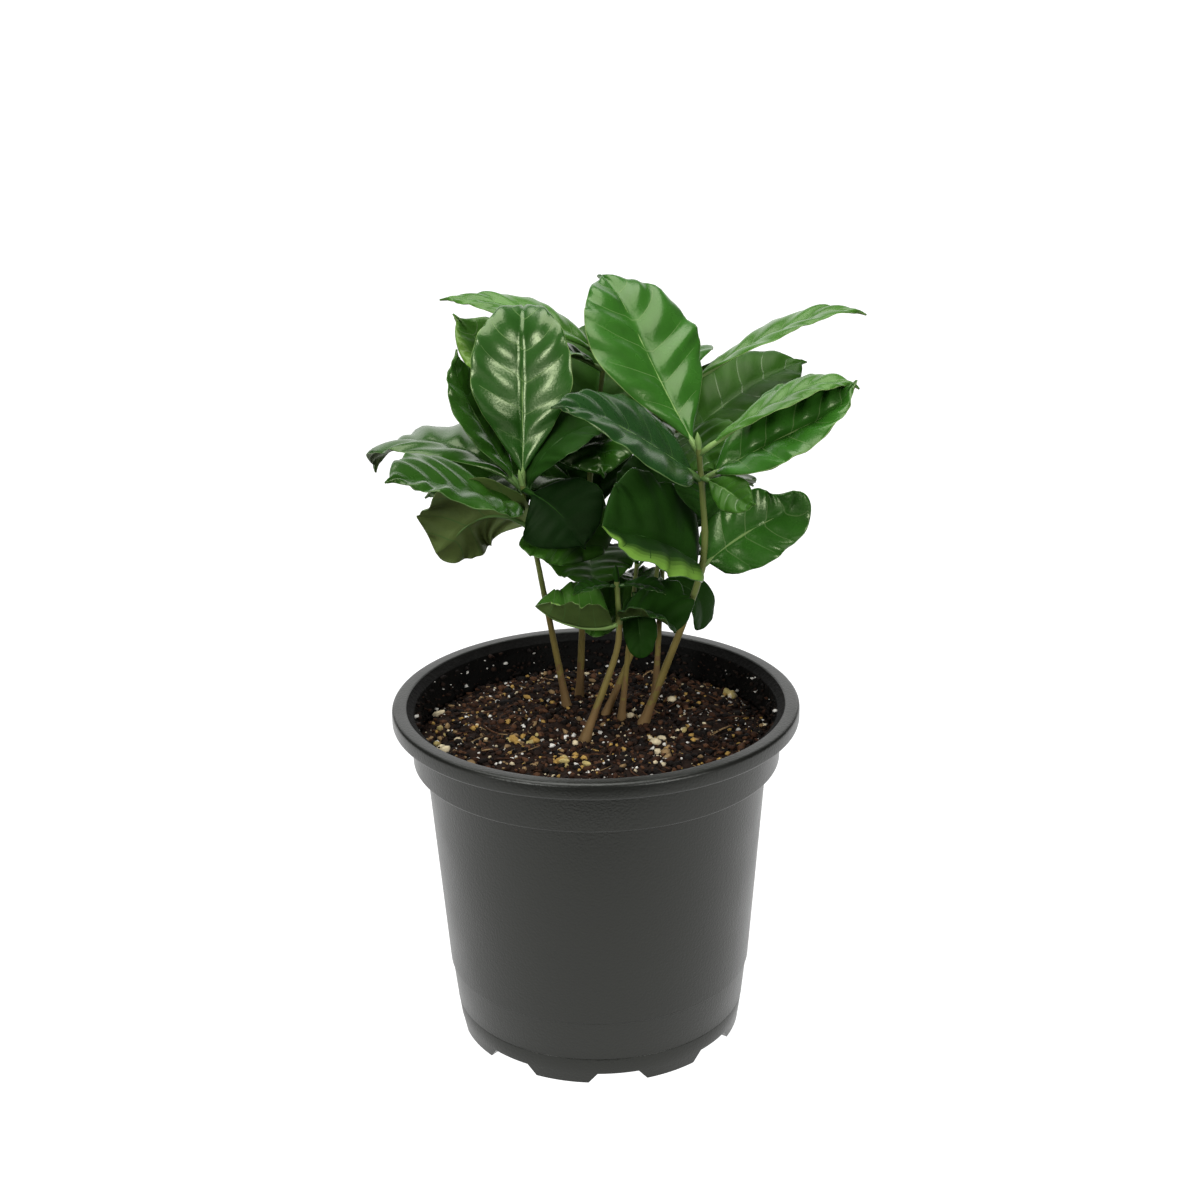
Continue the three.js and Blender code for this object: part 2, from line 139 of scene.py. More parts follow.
# Clusters of lumps on the mix: place, spread, count, radius and tones
Cluster = namedtuple("Cluster", "place spread count radius tones")
CLUSTERS = (
    Cluster((18, -11), 1.6, 5, 1.2, ("cream",)),
    Cluster((40, 26), 1.5, 8, 1.4, ("cream", "straw")),
    Cluster((-44, 15), 0.9, 2, 1.3, ("cream", "chip")),
    Cluster((-40, -12), 0.8, 3, 1.2, ("cream",)),
    Cluster((-37, -6), 0.8, 2, 1.2, ("cream",)),
    Cluster((-41, -2), 2.2, 9, 0.9, ("straw", "chip")),
    Cluster((-36, -21), 0.6, 2, 1.1, ("ochre", "cream")),
    Cluster((-18, -10), 2, 10, 1, ("ochre", "ochre", "straw")),
    Cluster((-8, -25), 2.2, 10, 1, ("straw", "ochre")),
    Cluster((11, 4), 0.8, 2, 1, ("cream",)),
    Cluster((22, 15), 0.7, 2, 0.9, ("cream",)),
    Cluster((23, -5), 1.2, 3, 0.8, ("cream", "straw")),
    Cluster((16, -24), 1.6, 4, 0.9, ("perlite", "cream")),
    Cluster((-4, -8), 3, 6, 0.8, ("perlite", "cream")),
    Cluster((26, 33), 1.6, 7, 1, ("humus", "russet")),
    Cluster((46, 4), 0.7, 2, 1, ("cream", "chip")),
)
CLUSTERS_SEED = 8
LUMP_SIZE = (0.6, 1.2)
LUMP_FLATNESS = 0.8
LUMP_ROUGH = 0.22
LUMP_LIFT = 0.5

# Stems
STEM_SIDES = 20
STEM_STEP = 0.7
STEM_TAPER = 0.6
STEM_TURN = 0.6
STEM_TURN_SHARPNESS = 4
STEM_BURIED = 3
ROOT_FLARE = 0.55
ROOT_FLARE_HEIGHT = 3
BARK_RELIEF = 0.07
BARK_STRETCH = 0.25
RIDGE_FINENESS = 1.6
LUMP_FINENESS = 1.1
LUMP_SHARE = 0.5
BLOTCH_FINENESS = 0.5
BLOTCH_REACH = 7
BARK_HEIGHT = 9
TAN_HEIGHT = 30
NODE_SWELL = 0.12
NODE_HEIGHT = 1.4

# Bud: shares of its length, and there the radius in that of the stem's tip. Buds of low seedlings take the
# painted shade tone, for the shade they sit in under the leaves.
BUD_LENGTH = 4.5
BUD_PLACES = (0.2, 0.4, 0.7, 0.9, 1)
BUD_SWELLS = (1.1, 1.25, 0.9, 0.45, 0.12)
BUD_LEAN_FROM = 0.9
LOW_SEEDLING = 55

# Leaves: lanes lie across one half of a blade, from its margin in to the midrib
LANES = (1, 0.985, 0.93, 0.84, 0.74, 0.63, 0.52, 0.41, 0.3, 0.2, 0.1)
LEAVES_SEED = 100
ROWS_BETWEEN_VEINS = 7
VEIN_HALF_WIDTH = 0.16
VEIN_THINNING = 0.7
VEIN_REACH = 0.88
VEIN_SHIFT = 0.02
VEIN_STRAY = 0.025
VEIN_STRAY_TURNS = 14
VEIN_SWEEP_POWER = 1.3
HALF_THICKNESS = 0.25
THIN_EDGE_POWER = 6
LEAF_TIP = 0.25
FULL_RELIEF_WIDTH = 28
FINE_RIPPLE = 0.5
FINE_RIPPLE_RATE = 2.3
RIPPLE_IN_OUTLINE = 0.02
WAVE_POWER = 2.5
UNEVEN = 0.35
UNEVEN_SIZE = 5
RIB_SIDES = 8
RIB_STEPS = 24
RIB_END = 0.97
RIB_TIP = 0.12
RIB_TAPER_POWER = 0.6
RIB_PROUD = 0.1
RIB_SUNK_FROM = 0.1
PETIOLE_RADIUS = 0.8
PETIOLE_FULL_LEAF = 30
PETIOLE_SPARE = 0.25
SEED_ROUNDNESS = 0.45
SEED_BROADEST = 0.5
TRUE_BROADEST = 0.55
BLADE_FULLNESS = 0.85
DRIP_START = 0.6
DRIP_FULL = 0.95
DRIP_WIDTH = 0.26
CURL_START = 0.6
MIDRIB_STEPS = 400

# Kinds of leaf: petiole, side veins of a half and their slant, the half's arch, quilts, waves and ripples
Kind = namedtuple("Kind", "petiole veins slant arch quilt wave ripples")
SEED_KIND = Kind(petiole=2, veins=4, slant=0.2, arch=0.1, quilt=0.5, wave=0.8, ripples=3)
TRUE_KIND = Kind(petiole=4, veins=5, slant=0.18, arch=0.13, quilt=0.85, wave=0.5, ripples=4)

# Colours of leaves and stems, dealt out by leaf and by face. Two of the greens, the shade tone and a still
# darker one, are painted shade, dealt to leaves that sit in the shade of others.
TONES = {
    "deep": (0.011, 0.048, 0.009),
    "dark": (0.017, 0.068, 0.005),
    "mid": (0.026, 0.112, 0.010),
    "polished": (0.018, 0.080, 0.008),
    "light": (0.050, 0.148, 0.018),
    # Painted light: the bright yellow-green of a lit, translucent leaf margin
    "lime": (0.130, 0.260, 0.036),
    "olive": (0.120, 0.175, 0.046),
    # Painted shade: the next two are darker copies of the leaf green for leaves in the shade of others
    "shade": (0.012, 0.045, 0.005),
    "gloom": (0.003, 0.013, 0.002),
    "dull": (0.024, 0.086, 0.006),
    "under": (0.085, 0.145, 0.034),
    "faint": (0.030, 0.085, 0.018),
    "vein": (0.080, 0.165, 0.040),
    "pale": (0.190, 0.310, 0.090),
    "bark": (0.165, 0.095, 0.038),
    "tan": (0.175, 0.130, 0.034),
    "green": (0.135, 0.165, 0.040),
}

# Roughness of glossy leaves and of the duller tones, strength and tint of the reflections. The weak
# reflections of the two painted-shade tones are part of their painted shade.
GLOSS = 0.26
MATT = {
    "under": 0.5, "bark": 0.7, "tan": 0.62, "green": 0.5, "olive": 0.45, "shade": 0.55, "gloom": 0.55,
    "dull": 0.45, "vein": 0.45, "pale": 0.5,
}
PLAIN_SHEEN = 0.5
PLAIN_TINT = (1, 1, 1)
SHEEN = {"shade": 0.05, "gloom": 0.05, "dull": 0.2, "under": 0.3, "light": 0.35, "polished": 0.8}
SHEEN_TINT = (0.88, 1, 0.62)
GLOSS_RANGE = 0.08

# Colours of the potting mix
MIX_TONES = {
    "soil": (0.017, 0.008, 0.0045),
    "humus": (0.042, 0.017, 0.008),
    "peat": (0.005, 0.003, 0.002),
    "russet": (0.085, 0.038, 0.018),
    "perlite": (0.72, 0.70, 0.64),
    "cream": (0.68, 0.58, 0.38),
    "straw": (0.45, 0.36, 0.14),
    "chip": (0.26, 0.17, 0.08),
    "ochre": (0.42, 0.26, 0.07),
}
MIX_ROUGHNESS = 0.85
MIX_SHEEN = 0.2

# Pot plastic, outside and inside. The inside is a darker, duller copy of the same plastic: painted shade
# within the pot.
POT_COLOR = (0.0062, 0.0066, 0.0052)
POT_ROUGHNESS = 0.34
POT_SHEEN = 0.45
POT_TINT = (0.98, 1, 0.94)
INSIDE_COLOR = (0.005, 0.0048, 0.0042)
INSIDE_ROUGHNESS = 0.7
INSIDE_SHEEN = 0.1

# Soft mottling and fine relief of a surface: strength and fineness of each
Finish = namedtuple("Finish", "mottle mottle_scale bump bump_scale")
LEAF_FINISH = Finish(0.16, 140, 0.06, 1500)
MIX_FINISH = Finish(0.3, 350, 0.5, 900)
POT_FINISH = Finish(0.18, 60, 0.12, 1600)
INSIDE_FINISH = Finish(0.3, 200, 0.4, 900)
MOTTLE_RANGE = (0.3, 0.7)
MOTTLE_DETAIL = 4
BUMP_DETAIL = 3

# Tones of the side veins and of the midrib and margin, by the leaf's own tone. The midrib's paler tone is
# its own; on the margin the same tone is a painted highlight of the lit, translucent edge.
VEIN_TONES = {
    "deep": ("faint", "vein"),
    "dark": ("faint", "vein"),
    # Veins of the two painted-shade tones stay in painted shade
    "shade": ("shade", "faint"),
    "gloom": ("gloom", "shade"),
    "dull": ("faint", "vein"),
    "olive": ("vein", "vein"),
    "mid": ("vein", "pale"),
    "polished": ("vein", "pale"),
    "light": ("vein", "pale"),
}
# Painted light of a lit margin: where along a half's reach it begins and is full, and its steps
LIT_RIM_START = 0.5
LIT_RIM_FULL = 0.95
LIT_RIM_STEPS = 6

# Seedlings as in the solids. A leaf sits at a share of its stem's height; rim names the tone of painted
# light that one half shades into towards its lit, translucent margin, and the half, 1 or -1, that does;
# relief scales its quilts and waves.
LEAF_FIELDS = "at heading rise bend curl length width broad roll fold tone rim relief"
Leaf = namedtuple("Leaf", LEAF_FIELDS, defaults=(None, 1))
Seedling = namedtuple("Seedling", "name foot tip bow diameter seed_leaves true_leaves")
# Leaves that take the two shade tones are painted in the shade of the leaves above them
SEEDLINGS = (
    Seedling(
        "right", (13, 0.5), (27.5, -4, 78), 8.4, 2.35,
        (
            Leaf(0.57, 207, 46, -42, 29, 32, 38, None, -34, 19, "shade", ("lime", 1)),
            Leaf(0.58, 12, 40, -28, 90, 30.5, 19.5, 0.46, 68, 6, "mid", relief=1.4),
        ),
        (
            Leaf(0.89, 212, 39, -12, -28, 48.5, 29, 0.34, -31, 5, "deep", relief=0.7),
            Leaf(0.89, 349, 31, -4, 52, 45, 30, 0.47, 28, 16, "mid"),
            Leaf(0.98, 122, 40, 11, -49, 58.5, 32, None, -5, 6, "mid"),
            Leaf(0.98, 355, 39, -22, -48, 42, 16.5, 0.57, 6, 6, "light"),
            Leaf(0.9, 306, -3, -21, 60, 19.5, 10, None, 48, 11, "dull"),
            Leaf(0.71, 87, 56, -60, 0, 17, 17, None, 7, 12, "shade"),
        ),
    ),
    Seedling(
        "left", (-8, 12.5), (-18.5, 6, 66), 0, 2,
        (
            Leaf(0.81, 188, 41, -127, 65, 28, 32, 0.61, 55, 6, "olive"),
            Leaf(0.82, 329, 25, -104, -6, 19.5, 30.5, 0.45, 22, 12, "dull"),
        ),
        (
            Leaf(0.9, 226, 23, -1, -17, 47.5, 33, 0.45, -17, 8, "dark"),
            Leaf(0.92, 10, 78, -86, 0, 31, 25, None, 15, 12, "shade", relief=0.8),
            Leaf(0.98, 88, 71, 8, -110, 49.5, 28.5, None, 0, 17, "polished", relief=0.6),
            Leaf(0.98, 153, 33, -63, -46, 48, 32, None, 1, 6, "dark"),
            Leaf(0.97, 155, 52, 14, 44, 38.5, 19.5, None, -2, 5, "dark"),
            Leaf(0.98, 316, -7, -46, 0, 23, 24.5, None, 39, 12, "gloom", relief=0.4),
        ),
    ),
    Seedling(
        "back_left", (-4.5, 19), (4, 25, 97), -2, 2,
        (
            Leaf(0.44, 95, 15, -30, 0, 24, 24, None, 0, 10, "dark"),
            Leaf(0.44, 278, -3, -18, 0, 18, 24, None, 0, 10, "dull"),
        ),
        (
            Leaf(0.62, 185, 19, -45, 0, 42, 27, None, -21, 12, "dark"),
            Leaf(0.49, 125, 69, -37, 0, 25, 37, None, -11, 12, "shade"),
            Leaf(0.8, 275, 7, -70, 0, 21.5, 26.5, None, 22, 12, "dark"),
            Leaf(0.76, 157, 41, -16, 28, 48, 25, None, -31, 13, "light", ("lime", 1)),
            Leaf(0.67, 77, 64, -36, 0, 44.5, 29, None, 6, 14, "dull", relief=0.5),
            Leaf(0.98, 166, 37, -42, 0, 45, 16, 0.46, -9, 5, "light"),
            Leaf(0.95, 192, 34, -45, 0, 18, 17, None, 0, 14, "mid"),
        ),
    ),
    Seedling(
        "back_right", (17, 23), (25.5, 29, 88), -2, 1.7,
        (
            Leaf(0.44, 30, 10, -50, 0, 22, 20, None, 0, 10, "dark"),
            Leaf(0.44, 170, 10, -30, 0, 18, 16, None, 0, 10, "shade"),
        ),
        (
            Leaf(0.63, 35, 18, -50, 0, 28, 20, None, 0, 12, "dark"),
            Leaf(0.83, 291, 10, -41, 0, 24, 21.5, None, 31, 12, "dull"),
            Leaf(0.78, 24, 39, -25, -11, 42.5, 31, 0.49, 21, 7, "dull", relief=0.7),
            Leaf(0.78, 85, 20, -60, 0, 38, 26, None, 0, 14, "dark"),
            Leaf(0.98, 3, 33, -18, -35, 50, 17.5, None, 1, 7, "light"),
            Leaf(0.98, 94, 20, -55, 0, 34, 23, None, 0, 14, "mid"),
        ),
    ),
    Seedling(
        "front", (-3, -9.5), (6, -6, 43), 4.4, 2.2,
        (
            Leaf(0.73, 186, -12, 60, 0, 22.5, 27, 0.32, 0, 46, "light", ("lime", 1), 0.8),
            Leaf(0.76, 337, 25, -59, -28, 16, 25, 0.6, 2, 30, "shade"),
        ),
        (
            Leaf(0.97, 200, 10, -30, 0, 11, 9, None, 0, 14, "shade"),
            Leaf(0.97, 345, 12, -40, 0, 12, 10, None, 0, 14, "shade"),
        ),
    ),
    Seedling(
        "middle", (3, 8), (18.5, 8, 50), 3, 1.9,
        (
            Leaf(0.72, 4, 20, -144, 17, 21.5, 12.5, 0.7, 36, 8, "shade", relief=0.3),
            Leaf(0.66, 115, 27, -42, 0, 16, 13, None, -3, 12, "dark"),
        ),
        (
            Leaf(0.97, 40, 22, -45, 0, 22, 15, None, 0, 12, "shade"),
            Leaf(0.94, 94, 56, -15, 0, 27, 22.5, None, 3, 12, "shade"),
        ),
    ),
    Seedling(
        "inner", (7, 3.5), (11.5, 2.5, 45), 0, 1.7,
        (
            Leaf(0.82, 281, -46, -34, 0, 17, 9.5, None, 0, 12, "shade"),
            Leaf(0.66, 159, 25, -55, 0, 14, 20, None, -45, 12, "dull"),
        ),
        (
            Leaf(0.97, 352, 50, -60, 0, 9, 6, None, 0, 12, "dark"),
            Leaf(0.97, 95, 40, -50, 0, 9, 6, None, 0, 12, "dark"),
        ),
    ),
)

# Camera, stage and lights, in metres
CAMERA_PLACE = (0, -0.5, 0.305)
CAMERA_PITCH = 19.93
CAMERA_YAW = 0.18
CAMERA_ROLL = -0.84
CAMERA_LENS = 60
SENSOR = 36
FLOOR_SIZE = 14
FLOOR_GLOW = 1.2
CARD_PLACE = (0, -0.7, 0.002)
CARD_SIZE = (2.4, 1)
STAGE_COLOR = (0.05, 0.05, 0.05, 1)
WORLD_STRENGTH = 0.1
LIGHT_TARGET = (0, 0, 0.15)
SoftBox = namedtuple("SoftBox", "name place size power")
SOFT_BOXES = (
    SoftBox("top_box", (-0.1, 0, 0.9), (0.9, 0.7), 9),
    SoftBox("back_box", (0, 1.2, 0.6), (1.8, 0.9), 6.5),
    SoftBox("left_box", (-0.7, -0.85, 0.5), (0.35, 0.35), 5.5),
    SoftBox("right_box", (0.7, -0.85, 0.5), (0.35, 0.35), 5.5),
)

# Share of a map cell left free round a body
MAP_MARGIN = 0.02
GRAIN_MAP = [(0.1, 0.1), (0.9, 0.1), (0.5, 0.9)]


def lerp(a, b, share):
    return a + (b - a) * share


def smooth_step(x, low, high):
    share = np.clip((x - low) / (high - low), 0, 1)
    return share * share * (3 - 2 * share)


def noise_at(points, scale, seed):
    """Smooth noise from about -1 to 1 at each point."""
    shift = Vector((17.3 * seed, 9.1 * seed, 5.7 * seed))
    return np.array([noise.noise(Vector(point) * scale + shift) for point in points])


class Shell:
    """Points, faces, tones and map places of one piece, collected body by body."""

    def __init__(self, bodies):
        self.points = []
        self.faces = []
        self.tones = []
        self.places = []
        self.count = 0
        self.bodies = 0
        self.cells = math.ceil(math.sqrt(bodies))

    def add_faces(self, points, faces, tones, places):
        """One closed body. Faces are turned so that they look outwards."""
        volume = 0
        for face in faces:
            for k in range(1, len(face) - 1):
                volume += np.dot(points[face[0]], np.cross(points[face[k]], points[face[k + 1]]))
        turn = -1 if volume < 0 else 1
        row, column = divmod(self.bodies, self.cells)
        for face, place in zip(faces, places):
            self.faces.append([self.count + index for index in face][::turn])
            self.places += [((column + x) / self.cells, (row + y) / self.cells) for x, y in place][::turn]
        self.points.append(points)
        self.tones += tones
        self.count += len(points)
        self.bodies += 1

    def add_rings(self, rings, tones):
        """A closed body through rings of points, with a fan at each end. Tones has a name for each
        face between two rings."""
        rows, sides = rings.shape[:2]
        points = np.concatenate([rings.reshape(-1, 3), [rings[0].mean(0)], [rings[-1].mean(0)]])
        faces, names, places = [], [], []
        span = 1 - 2 * MAP_MARGIN
        left = [MAP_MARGIN + span * j / sides for j in range(sides + 1)]
        up = [MAP_MARGIN + span * (i + 1) / (rows + 1) for i in range(rows)]
        for i in range(rows - 1):
            for j in range(sides):
                after = (j + 1) % sides
                low, high = i * sides, (i + 1) * sides
                faces.append([low + j, low + after, high + after, high + j])
                places.append([
                    (left[j], up[i]), (left[j + 1], up[i]),
                    (left[j + 1], up[i + 1]), (left[j], up[i + 1]),
                ])
                names.append(tones[i][j])
        for ring, centre, edge, tone_row in ((0, -2, MAP_MARGIN, 0), (rows - 1, -1, 1 - MAP_MARGIN, -1)):
            for j in range(sides):
                after = (j + 1) % sides
                face = [ring * sides + after, ring * sides + j, len(points) + centre]
                place = [
                    (left[j + 1], up[ring]), (left[j], up[ring]), ((left[j] + left[j + 1]) / 2, edge),
                ]
                order = 1 if ring == 0 else -1
                faces.append(face[::order])
                places.append(place[::order])
                names.append(tones[tone_row][j])
        self.add_faces(points, faces, names, places)

    def piece(self, name, nodes, materials, sharp=None):
        """The collected bodies as one object that rides on the part."""
        mesh = bpy.data.meshes.new(name)
        mesh.from_pydata(np.concatenate(self.points) * MM, [], self.faces)
        used = list(dict.fromkeys(self.tones))
        for tone in used:
            mesh.materials.append(materials[tone])
        mesh.polygons.foreach_set("material_index", [used.index(tone) for tone in self.tones])
        mesh.polygons.foreach_set("use_smooth", [True] * len(self.faces))
        layer = mesh.uv_layers.new(name="OFBake")
        layer.data.foreach_set("uv", np.array(self.places, np.float32).ravel())
        if sharp:
            mesh.set_sharp_from_angle(angle=math.radians(sharp))
        mesh.update()
        made = bpy.data.objects.new(name, mesh)
        bpy.context.scene.collection.objects.link(made)
        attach(made, "root")
        if nodes:
            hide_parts(*nodes)


# Materials


def surface(name, color, roughness, finish, sheen=PLAIN_SHEEN, tint=PLAIN_TINT):
    """A surface whose colour and gloss vary softly, with a fine relief."""
    material = bpy.data.materials.new(name)
    material.use_nodes = True
    nodes = material.node_tree.nodes
    links = material.node_tree.links
    shader = nodes["Principled BSDF"]
    shader.inputs["Specular IOR Level"].default_value = sheen
    shader.inputs["Specular Tint"].default_value = (*tint, 1)
    where = nodes.new("ShaderNodeTexCoord").outputs["Object"]
    broad = nodes.new("ShaderNodeTexNoise")
    broad.inputs["Scale"].default_value = finish.mottle_scale
    broad.inputs["Detail"].default_value = MOTTLE_DETAIL
    links.new(where, broad.inputs["Vector"])
    ramp = nodes.new("ShaderNodeValToRGB")
    for element, place, sign in zip(ramp.color_ramp.elements, MOTTLE_RANGE, (-1, 1)):
        element.position = place
        element.color = [c * (1 + sign * finish.mottle) for c in color] + [1]
    links.new(broad.outputs["Fac"], ramp.inputs["Fac"])
    links.new(ramp.outputs["Color"], shader.inputs["Base Color"])
    gloss = nodes.new("ShaderNodeMapRange")
    gloss.inputs["To Min"].default_value = roughness - GLOSS_RANGE
    gloss.inputs["To Max"].default_value = roughness + GLOSS_RANGE
    links.new(broad.outputs["Fac"], gloss.inputs["Value"])
    links.new(gloss.outputs["Result"], shader.inputs["Roughness"])
    fine = nodes.new("ShaderNodeTexNoise")
    fine.inputs["Scale"].default_value = finish.bump_scale
    fine.inputs["Detail"].default_value = BUMP_DETAIL
    links.new(where, fine.inputs["Vector"])
    relief = nodes.new("ShaderNodeBump")
    relief.inputs["Strength"].default_value = finish.bump
    relief.inputs["Distance"].default_value = MM
    links.new(fine.outputs["Fac"], relief.inputs["Height"])
    links.new(relief.outputs["Normal"], shader.inputs["Normal"])
    return material


def leaf_surface(name, color, tone):
    """A leaf's surface with the gloss of a tone."""
    roughness = MATT.get(tone, GLOSS)
    sheen = SHEEN.get(tone, PLAIN_SHEEN)
    return surface(name, color, roughness, LEAF_FINISH, sheen, SHEEN_TINT)


def leaf_materials():
    """A surface for each tone, and for each step between a leaf's own tone and its rim's painted light."""
    made = {tone: leaf_surface(f"leaf_{tone}", color, tone) for tone, color in TONES.items()}
    for seedling in SEEDLINGS:
        for leaf in seedling.seed_leaves + seedling.true_leaves:
            for step in range(LIT_RIM_STEPS + 1 if leaf.rim else 0):
                color = lerp(np.array(TONES[leaf.tone]), np.array(TONES[leaf.rim[0]]), step / LIT_RIM_STEPS)
                name = f"leaf_{leaf.tone}_{leaf.rim[0]}_{step}"
                made[(leaf.tone, leaf.rim[0], step)] = leaf_surface(name, color, leaf.tone)
    return made


def mix_materials():
    return {
        tone: surface(f"mix_{tone}", color, MIX_ROUGHNESS, MIX_FINISH, MIX_SHEEN)
        for tone, color in MIX_TONES.items()
    }


def pot_materials():
    return {
        "pot": surface("pot_satin", POT_COLOR, POT_ROUGHNESS, POT_FINISH, POT_SHEEN, POT_TINT),
        "inside": surface("pot_inside", INSIDE_COLOR, INSIDE_ROUGHNESS, INSIDE_FINISH, INSIDE_SHEEN),
    }


# Pot


def arc(centre, radius, start, end, steps):
    """Points on part of a circle in the profile plane, angles in degrees."""
    angles = np.radians(np.linspace(start, end, steps + 1))
    return [(centre[0] + radius * math.cos(a), centre[1] + radius * math.sin(a)) for a in angles]


def straight(start, end, steps):
    """Points from the start up to, but without, the end."""
    return [tuple(lerp(np.array(start), np.array(end), k / steps)) for k in range(steps)]


def wall_profile():
    """Radii and heights above the notches: up the outside and over the rim, then down the inside."""
    low_step = (BODY_LOW_RADIUS - BAND_STEP, BODY_LOW - BAND_STEP)
    under_rim = RIM_TOP - RIM_SHEET
    skirt = RIM_RADIUS - RIM_SHEET
    lip = RIM_SHEET / 2
    ledge = (BODY_TOP_RADIUS, COLLAR_BOTTOM - BAND_STEP)
    profile = [
        (FOOT_RADIUS - FOOT_GROOVE / 2, FOOT_TOP - 2 * FOOT_GROOVE),
        (FOOT_RADIUS - FOOT_GROOVE, FOOT_TOP - FOOT_GROOVE),
        (FOOT_RADIUS, FOOT_TOP),
    ]
    profile += straight((FOOT_RADIUS, FOOT_TOP + FOOT_GROOVE), low_step, FOOT_STEPS)
    profile += [low_step]
    profile += straight((BODY_LOW_RADIUS, BODY_LOW), ledge, BODY_STEPS)
    profile += [ledge]
    profile += arc((COLLAR_RADIUS - LIP_ROUND, COLLAR_BOTTOM + LIP_ROUND), LIP_ROUND, -90, 0, LIP_STEPS)
    profile += [(COLLAR_RADIUS + BAND_STEP, under_rim), (skirt, under_rim)]
    profile += arc((skirt + lip, RIM_LOWER_EDGE + lip), lip, 180, 360, ROUND_STEPS)
    profile += arc((RIM_RADIUS - RIM_ROUND, RIM_TOP - RIM_ROUND), RIM_ROUND, 0, 90, ROUND_STEPS)
    profile += arc((RIM_INNER_RADIUS, RIM_TOP - LIP_ROUND), LIP_ROUND, 90, 150, LIP_STEPS)
    inside = [
        (COLLAR_RADIUS - WALL + BAND_STEP, under_rim - LIP_ROUND),
        (COLLAR_RADIUS - WALL, COLLAR_BOTTOM + WALL),
        (BODY_TOP_RADIUS - WALL, COLLAR_BOTTOM),
        (BODY_LOW_RADIUS - WALL, BODY_LOW),
        (FOOT_RADIUS - WALL, FOOT_TOP),
        (BASE_RADIUS - WALL, FLOOR + NOTCH_HEIGHT),
        (NOTCH_INNER_RADIUS - WALL, FLOOR + NOTCH_HEIGHT),
    ]
    return profile, inside


def notch_columns(radius, half_width):
    """Angles of one notch's columns and those on to the next notch, and which of them lie in the notch."""
    edge = math.asin(half_width / radius)
    sector = 2 * math.pi / NOTCH_COUNT
    inside = np.linspace(-edge, edge, NOTCH_STEPS + 1)
    outside = np.linspace(edge + NOTCH_EDGE, sector - edge - NOTCH_EDGE, NOTCH_BETWEEN + 1)
    return np.concatenate([inside, outside]), np.arange(len(inside) + len(outside)) < len(inside)


def pot_ring(plain, notched, half_width):
    """A ring whose columns in the notches take one radius and height, and the others another."""
    angles, in_notch = notch_columns(plain[0], half_width)
    notch_angles, _ = notch_columns(notched[0], half_width)
    ring = []
    for i in range(NOTCH_COUNT):
        turn = math.radians(NOTCH_FIRST) + 2 * math.pi * i / NOTCH_COUNT
        for angle, notch_angle, inside in zip(angles, notch_angles, in_notch):
            radius, height = notched if inside else plain
            at = turn + (notch_angle if inside else angle)
            ring.append((radius * math.cos(at), radius * math.sin(at), height))
    return ring


def build_pot(materials):
    foot_low = lerp(BASE_RADIUS, FOOT_RADIUS, NOTCH_HEIGHT / FOOT_TOP)
    wide, narrow = NOTCH_WIDTH / 2, NOTCH_TOP_WIDTH / 2
    under = (NOTCH_INNER_RADIUS, 0)
    rings = [
        pot_ring(under, under, wide),
        pot_ring((BASE_RADIUS, 0), (NOTCH_INNER_RADIUS, NOTCH_HEIGHT), wide),
        pot_ring((foot_low, NOTCH_HEIGHT), (foot_low, NOTCH_HEIGHT), narrow),
    ]
    rings[1] = slanted_notch_roof(rings[1], narrow)
    outside, inside = wall_profile()
    rings += [pot_ring(point, point, narrow) for point in outside + inside]
    rings = np.array(rings)
    # Painted shade: the faces inside the pot, from just within the rim down, take the darker inside plastic
    tones = ["inside" if i >= len(rings) - len(inside) - 1 else "pot" for i in range(len(rings))]
    shell = Shell(1)
    shell.add_rings(rings, [[tone] * rings.shape[1] for tone in tones])
    shell.piece("pot_shell", ["pot"], materials, POT_SHARP_ANGLE)


def slanted_notch_roof(ring, half_width):
    """The notch columns of a ring, drawn in to the width of the notch's roof."""
    roof = pot_ring((BASE_RADIUS, 0), (NOTCH_INNER_RADIUS, NOTCH_HEIGHT), half_width)
    return [top if top[2] > 0 else low for low, top in zip(ring, roof)]


# Potting mix


def soil_height(radius):
    """Height of the even mound at a distance from the pot's axis."""
    return np.interp(
        radius,
        [0, SOIL_FLAT_RADIUS, SOIL_SHOULDER_RADIUS, SOIL_RADIUS],
        [SOIL_TOP, SOIL_TOP, SOIL_SHOULDER, SOIL_EDGE],
    )


def soil_surface(x, y):
    """Height of the uneven mix at each place."""
    flat = np.stack([x, y, np.zeros_like(x)], -1).reshape(-1, 3)
    lumps = sum(
        height * noise_at(flat, fineness, seed) for seed, (height, fineness) in enumerate(SOIL_LUMPS, 1)
    )
    edge = 1 - smooth_step(np.hypot(x, y), SOIL_RADIUS - SOIL_CALM_EDGE, SOIL_RADIUS)
    return soil_height(np.hypot(x, y)) - SOIL_SINK + lumps.reshape(x.shape) * edge


def build_soil(materials):
    radii = SOIL_RADIUS * np.linspace(SOIL_CENTRE_SHARE, 1, SOIL_RINGS)
    angles = np.linspace(0, 2 * np.pi, SOIL_SIDES, endpoint=False)
    x = radii[:, None] * np.cos(angles)
    y = radii[:, None] * np.sin(angles)
    top = np.stack([x, y, soil_surface(x, y)], -1)
    wall = top[-1].copy()
    wall[:, 2] = SOIL_EDGE - SOIL_DEPTH / 2
    bottom = wall * (BODY_TOP_RADIUS - 2 * WALL) / SOIL_RADIUS
    bottom[:, 2] = SOIL_EDGE - SOIL_DEPTH
    rings = np.concatenate([top, wall[None], bottom[None]])
    shell = Shell(1)
    shell.add_rings(rings, [["soil"] * SOIL_SIDES] * len(rings))
    shell.piece("mix_ground", ["soil"], materials)


def unit_grain(subdivisions):
    """Points and faces of a ball with a radius of 1."""
    made = bmesh.new()
    bmesh.ops.create_icosphere(made, subdivisions=subdivisions, radius=1)
    points = np.array([vertex.co for vertex in made.verts])
    faces = [[vertex.index for vertex in face.verts] for face in made.faces]
    made.free()
    return points, faces


